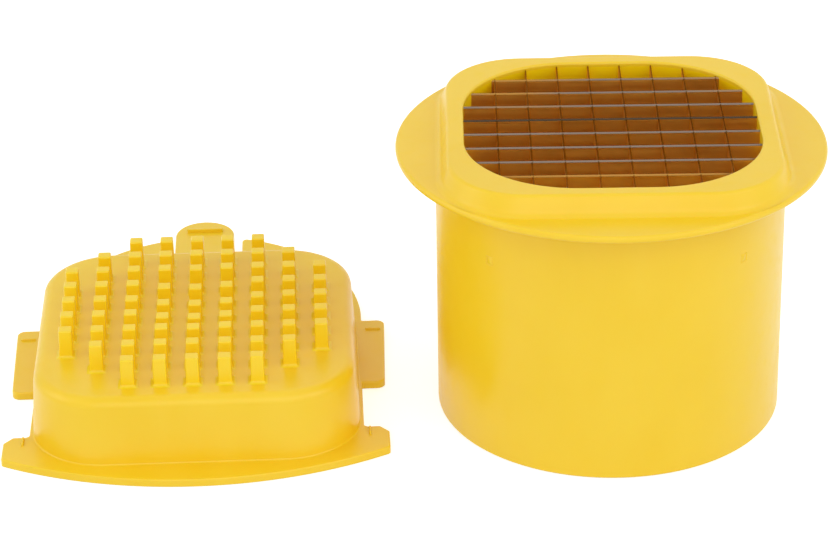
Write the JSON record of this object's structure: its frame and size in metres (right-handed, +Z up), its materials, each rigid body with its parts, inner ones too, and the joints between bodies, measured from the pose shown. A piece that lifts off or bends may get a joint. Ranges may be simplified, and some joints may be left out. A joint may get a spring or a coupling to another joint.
{
  "type": "french fry cutter",
  "caption": "Round open-bottomed tub with a flange, a raised collar and a square steel blade grid for cutting potato, with its loose pronged pusher plate lying beside it.",
  "frame": {"origin": "centre of the tub's lower rim, on the surface it stands on", "axes": "+X along one row of the blade grid, away from the pusher; +Y along the other row, towards the pusher's tail; +Z up along the tub's axis"},
  "size_m": [0.2601, 0.187, 0.095],
  "materials": {
    "yellow_plastic": "injection-moulded, low gloss",
    "blade_steel": "rolled strip with a ground top edge"
  },
  "bodies": {
    "cutter": {"housing": "yellow_plastic", "blade_retainer": "yellow_plastic", "cross_blade_1": "blade_steel", "cross_blade_2": "blade_steel", "cross_blade_3": "blade_steel", "cross_blade_4": "blade_steel", "cross_blade_5": "blade_steel", "cross_blade_6": "blade_steel", "cross_blade_7": "blade_steel", "cross_blade_8": "blade_steel", "long_blade_1": "blade_steel", "long_blade_2": "blade_steel", "long_blade_3": "blade_steel", "long_blade_4": "blade_steel", "long_blade_5": "blade_steel", "long_blade_6": "blade_steel", "long_blade_7": "blade_steel", "long_blade_8": "blade_steel"},
    "pusher": {"pusher": "yellow_plastic", "prongs": "yellow_plastic"},
    "latch": {"latch_tongue": "yellow_plastic"}
  },
  "joints": [
    {"name": "pusher_lift", "type": "slide", "parent": "cutter", "child": "pusher", "axis": [0, 0, 1], "range_m": [0, 0.15]},
    {"name": "tongue_flex", "type": "hinge", "parent": "pusher", "child": "latch", "pos_m": [-0.13478, 0.08978, 0.00125], "axis": [0.9992, 0.0401, 0], "range_deg": [-6, 6], "stiffness_Nm_per_rad": 0.5}
  ]
}
